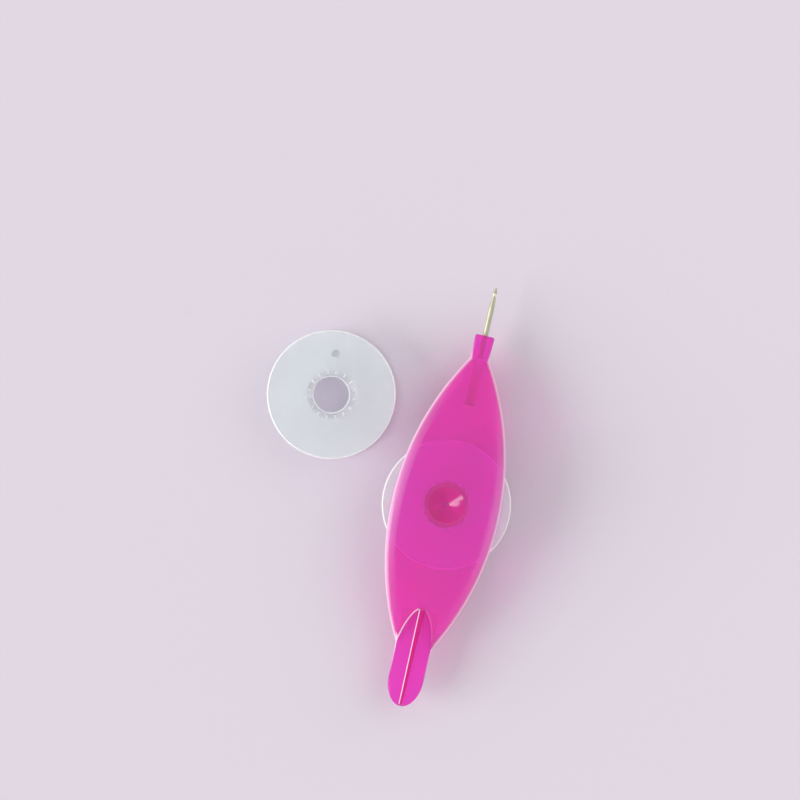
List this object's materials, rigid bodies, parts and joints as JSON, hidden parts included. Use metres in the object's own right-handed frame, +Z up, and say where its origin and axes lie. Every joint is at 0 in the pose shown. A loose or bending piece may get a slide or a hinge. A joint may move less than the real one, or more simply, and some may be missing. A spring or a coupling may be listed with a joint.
{
  "type": "tatting shuttle",
  "caption": "Leaf-shaped tatting shuttle with bowed blades, a bobbin that turns between them, a hook at the nose, a plus-shaped winding post at the tail, and a spare bobbin beside it.",
  "frame": {"origin": "on the axis of the loaded bobbin, in the plane that the shuttle and the spare bobbin lie on", "axes": "+Z up along the bobbin axis, +Y along the shuttle from the winding post to the hook, +X across the blades, to the side that the hook's throat opens to"},
  "size_m": [0.0523, 0.0845, 0.0128],
  "materials": {
    "magenta_plastic": "polished, transparent magenta",
    "milky_plastic": "satin, milky translucent",
    "hook_steel": "drawn wire, fine lengthwise brushing"
  },
  "bodies": {
    "shuttle": {"upper_blade": "magenta_plastic", "lower_blade": "magenta_plastic", "crochet_hook": "hook_steel"},
    "loaded_bobbin": {"bobbin_lower_half": "milky_plastic", "bobbin_upper_half": "milky_plastic"},
    "spare_bobbin": {"spare_bobbin_lower_half": "milky_plastic", "spare_bobbin_upper_half": "milky_plastic"}
  },
  "joints": [
    {"name": "bobbin_spin", "type": "hinge", "parent": "shuttle", "child": "loaded_bobbin", "pos_m": [0, 0, 0.00642], "axis": [0, 0, 1], "continuous": true},
    {"name": "spare_bobbin_lift", "type": "slide", "parent": "shuttle", "child": "spare_bobbin", "axis": [0, 0, 1], "range_m": [0, 0.03]}
  ]
}
